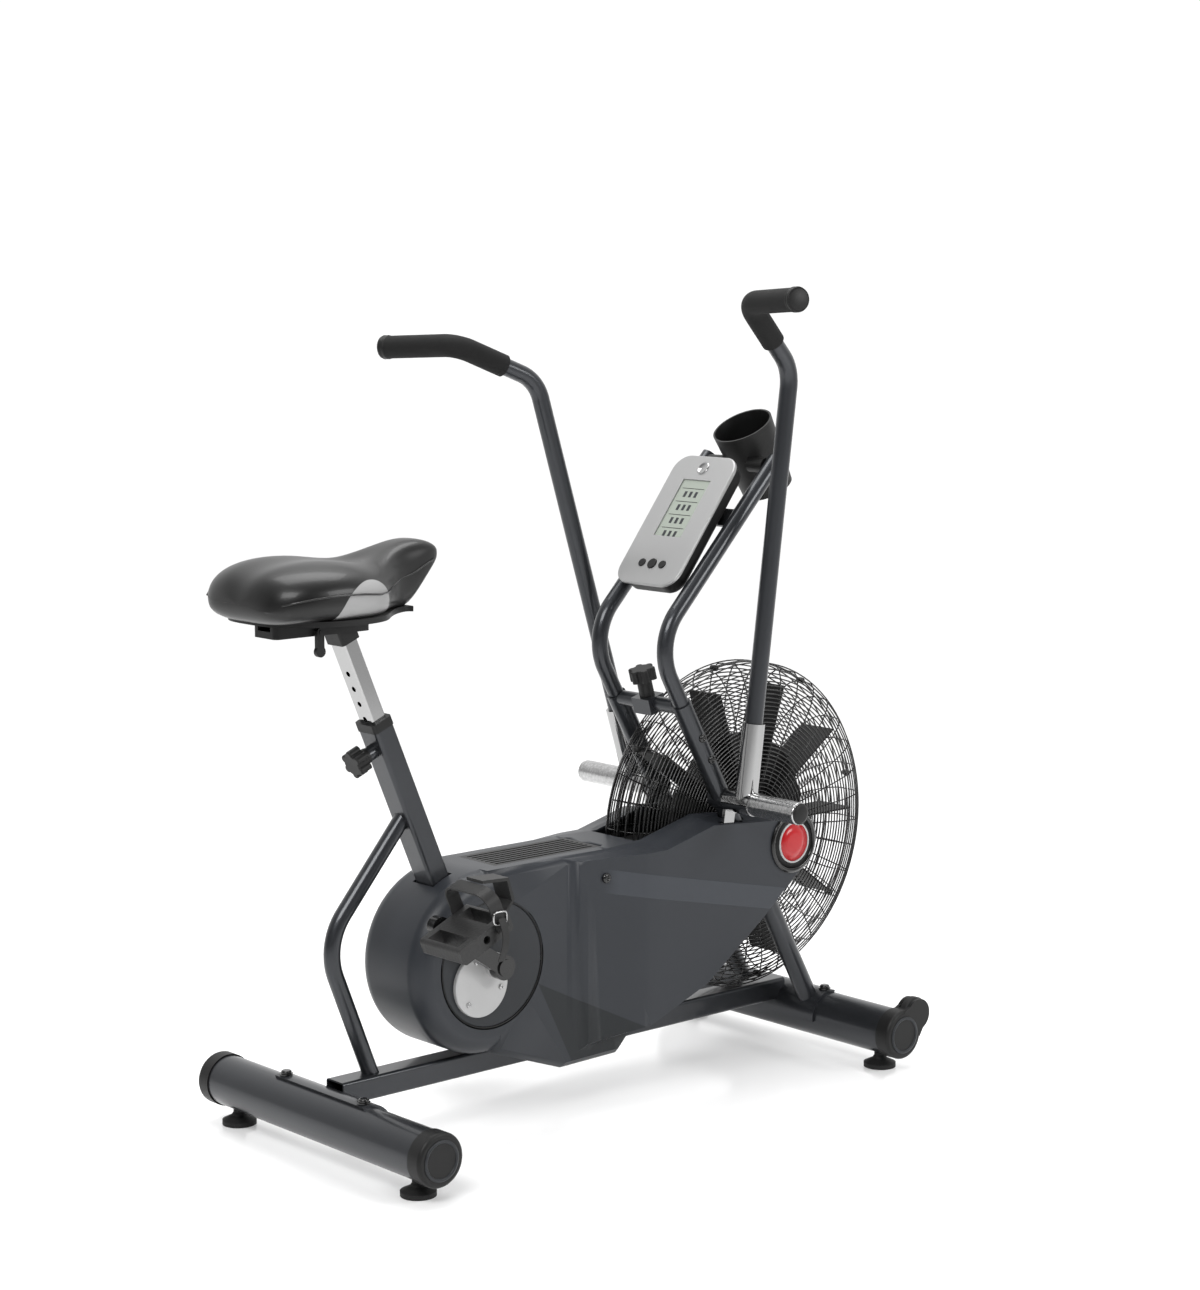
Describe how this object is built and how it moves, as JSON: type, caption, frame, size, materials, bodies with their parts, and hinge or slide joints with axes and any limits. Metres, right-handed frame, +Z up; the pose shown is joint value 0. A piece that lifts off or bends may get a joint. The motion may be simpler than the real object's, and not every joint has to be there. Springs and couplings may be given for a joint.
{
  "type": "air bike",
  "caption": "Exercise bike with a caged fan driven by pedals, swinging upright handles, adjustable saddle, sloping console and stabilizer feet.",
  "frame": {"origin": "on the floor under the middle of the bike's box", "axes": "+X forward towards the fan, +Y to the rider's left, +Z up"},
  "size_m": [1.2453, 0.665, 1.2601],
  "materials": {
    "charcoal_paint": "satin powder coat",
    "chrome": "polished",
    "steel": "satin",
    "black_hardware": "gloss black",
    "black_plastic": "matt",
    "shroud_plastic": "satin",
    "pale_plastic": "satin",
    "lens": "gloss",
    "foam": "closed-cell foam",
    "black_vinyl": "semi-gloss vinyl",
    "rubber": "matt"
  },
  "bodies": {
    "frame": {"base_beam": "charcoal_paint", "bottle_holder": "black_plastic", "cage_left": "black_hardware", "cage_right": "black_hardware", "console_case": "black_plastic", "console_face": "pale_plastic", "console_lens": "lens", "crank_bearings": "steel", "crossbar": "charcoal_paint", "drive_belt": "rubber", "fan_axle": "steel", "foot_pegs": "chrome", "fork_legs": "charcoal_paint", "front_end_caps": "black_plastic", "front_stabilizer": "charcoal_paint", "masts": "charcoal_paint", "post_bush": "black_plastic", "rear_end_caps": "black_plastic", "rear_stabilizer": "charcoal_paint", "rear_strut": "charcoal_paint", "seat_tube": "charcoal_paint", "shroud_left": "shroud_plastic", "shroud_right": "shroud_plastic", "shroud_vent": "black_plastic", "stabilizer_bolts": "black_hardware"},
    "crank": {"crank_spindle": "steel", "crank_pulley": "black_plastic", "crank_discs": "shroud_plastic", "eccentric_plates": "pale_plastic", "crank_arms": "black_plastic"},
    "pedal_right": {"pedal_right": "black_plastic", "toe_strap_right": "rubber"},
    "pedal_left": {"pedal_left": "black_plastic", "toe_strap_left": "rubber"},
    "fan": {"fan_wheel": "black_plastic", "fan_pulley": "black_plastic"},
    "handle_right": {"handle_base_right": "chrome", "handle_right": "charcoal_paint", "grip_right": "foam"},
    "handle_left": {"handle_base_left": "chrome", "handle_left": "charcoal_paint", "grip_left": "foam"},
    "drive_rod_right": {"drive_rod_right": "steel"},
    "drive_rod_left": {"drive_rod_left": "steel"},
    "seat_post": {"seat_post": "chrome", "saddle_carriage": "black_plastic"},
    "saddle": {"saddle_pan": "black_plastic", "saddle_cushion": "black_vinyl"},
    "saddle_lever": {"saddle_lever": "black_plastic"},
    "seat_knob": {"seat_knob": "black_plastic"},
    "mast_knob": {"mast_knob": "black_plastic"},
    "console_button_left": {"console_button_left": "black_plastic"},
    "console_button_middle": {"console_button_middle": "black_plastic"},
    "console_button_right": {"console_button_right": "black_plastic"},
    "rear_foot_right": {"rear_foot_right": "rubber"},
    "front_foot_right": {"front_foot_right": "rubber"},
    "transport_wheel_right": {"transport_wheel_right": "rubber"},
    "rear_foot_left": {"rear_foot_left": "rubber"},
    "front_foot_left": {"front_foot_left": "rubber"},
    "transport_wheel_left": {"transport_wheel_left": "rubber"}
  },
  "joints": [
    {"name": "crank_turn", "type": "hinge", "parent": "frame", "child": "crank", "pos_m": [-0.2265, 0, 0.26], "axis": [0, 1, 0], "continuous": true},
    {"name": "fan_turn", "type": "hinge", "parent": "frame", "child": "fan", "pos_m": [0.3535, 0, 0.385], "axis": [0, 1, 0], "continuous": true},
    {"name": "handle_right_swing", "type": "hinge", "parent": "frame", "child": "handle_right", "pos_m": [0.2465, 0, 0.451], "axis": [0, 1, 0], "range_deg": [-22.9, 3.1]},
    {"name": "handle_left_swing", "type": "hinge", "parent": "frame", "child": "handle_left", "pos_m": [0.2465, 0, 0.451], "axis": [0, 1, 0], "range_deg": [-3.1, 22.9]},
    {"name": "drive_rod_right_pivot", "type": "hinge", "parent": "handle_right", "child": "drive_rod_right", "pos_m": [0.21899, 0, 0.29338], "axis": [0, 1, 0], "range_deg": [-3.1, 22.9]},
    {"name": "drive_rod_left_pivot", "type": "hinge", "parent": "handle_left", "child": "drive_rod_left", "pos_m": [0.27401, 0, 0.29338], "axis": [0, 1, 0], "range_deg": [-22.9, 3.1]},
    {"name": "seat_height", "type": "slide", "parent": "frame", "child": "seat_post", "axis": [-0.3923, 0, 0.9198], "range_m": [-0.125, 0.075]},
    {"name": "saddle_slide", "type": "slide", "parent": "seat_post", "child": "saddle", "axis": [1, 0, 0], "range_m": [-0.025, 0.025]},
    {"name": "saddle_lever_turn", "type": "hinge", "parent": "seat_post", "child": "saddle_lever", "pos_m": [-0.50464, 0, 0.77942], "axis": [0, 1, 0], "range_deg": [0, 70]},
    {"name": "seat_knob_pull", "type": "slide", "parent": "frame", "child": "seat_knob", "axis": [-0.9198, 0, -0.3923], "range_m": [0, 0.01], "stiffness_N_per_m": 800, "springref_m": -0.004},
    {"name": "mast_knob_turn", "type": "hinge", "parent": "frame", "child": "mast_knob", "pos_m": [0.15779, 0, 0.606], "axis": [-0.2756, 0, 0.9613], "range_deg": [0, 360]},
    {"name": "pedal_right_turn", "type": "hinge", "parent": "crank", "child": "pedal_right", "pos_m": [-0.34671, 0, 0.34108], "axis": [0, 1, 0], "continuous": true},
    {"name": "pedal_left_turn", "type": "hinge", "parent": "crank", "child": "pedal_left", "pos_m": [-0.10629, 0, 0.17892], "axis": [0, 1, 0], "continuous": true},
    {"name": "console_button_left_press", "type": "slide", "parent": "frame", "child": "console_button_left", "axis": [0.7934, 0, -0.6088], "range_m": [0, 0.001], "stiffness_N_per_m": 400, "springref_m": -0.001},
    {"name": "console_button_middle_press", "type": "slide", "parent": "frame", "child": "console_button_middle", "axis": [0.7934, 0, -0.6088], "range_m": [0, 0.001], "stiffness_N_per_m": 400, "springref_m": -0.001},
    {"name": "console_button_right_press", "type": "slide", "parent": "frame", "child": "console_button_right", "axis": [0.7934, 0, -0.6088], "range_m": [0, 0.001], "stiffness_N_per_m": 400, "springref_m": -0.001},
    {"name": "rear_foot_right_height", "type": "slide", "parent": "frame", "child": "rear_foot_right", "axis": [0, 0, 1], "range_m": [-0.01, 0]},
    {"name": "rear_foot_left_height", "type": "slide", "parent": "frame", "child": "rear_foot_left", "axis": [0, 0, 1], "range_m": [-0.01, 0]},
    {"name": "front_foot_right_height", "type": "slide", "parent": "frame", "child": "front_foot_right", "axis": [0, 0, 1], "range_m": [-0.01, 0]},
    {"name": "front_foot_left_height", "type": "slide", "parent": "frame", "child": "front_foot_left", "axis": [0, 0, 1], "range_m": [-0.01, 0]},
    {"name": "transport_wheel_right_turn", "type": "hinge", "parent": "frame", "child": "transport_wheel_right", "pos_m": [0.5025, 0, 0.09], "axis": [0, 1, 0], "continuous": true},
    {"name": "transport_wheel_left_turn", "type": "hinge", "parent": "frame", "child": "transport_wheel_left", "pos_m": [0.5025, 0, 0.09], "axis": [0, 1, 0], "continuous": true}
  ],
  "couplings": [
    {"joint": "fan_turn", "follows": "crank_turn", "ratio": 4.1818},
    {"joint": "handle_left_swing", "follows": "handle_right_swing", "ratio": -1},
    {"joint": "drive_rod_right_pivot", "follows": "handle_right_swing", "ratio": -1},
    {"joint": "drive_rod_left_pivot", "follows": "handle_right_swing", "ratio": 1}
  ]
}
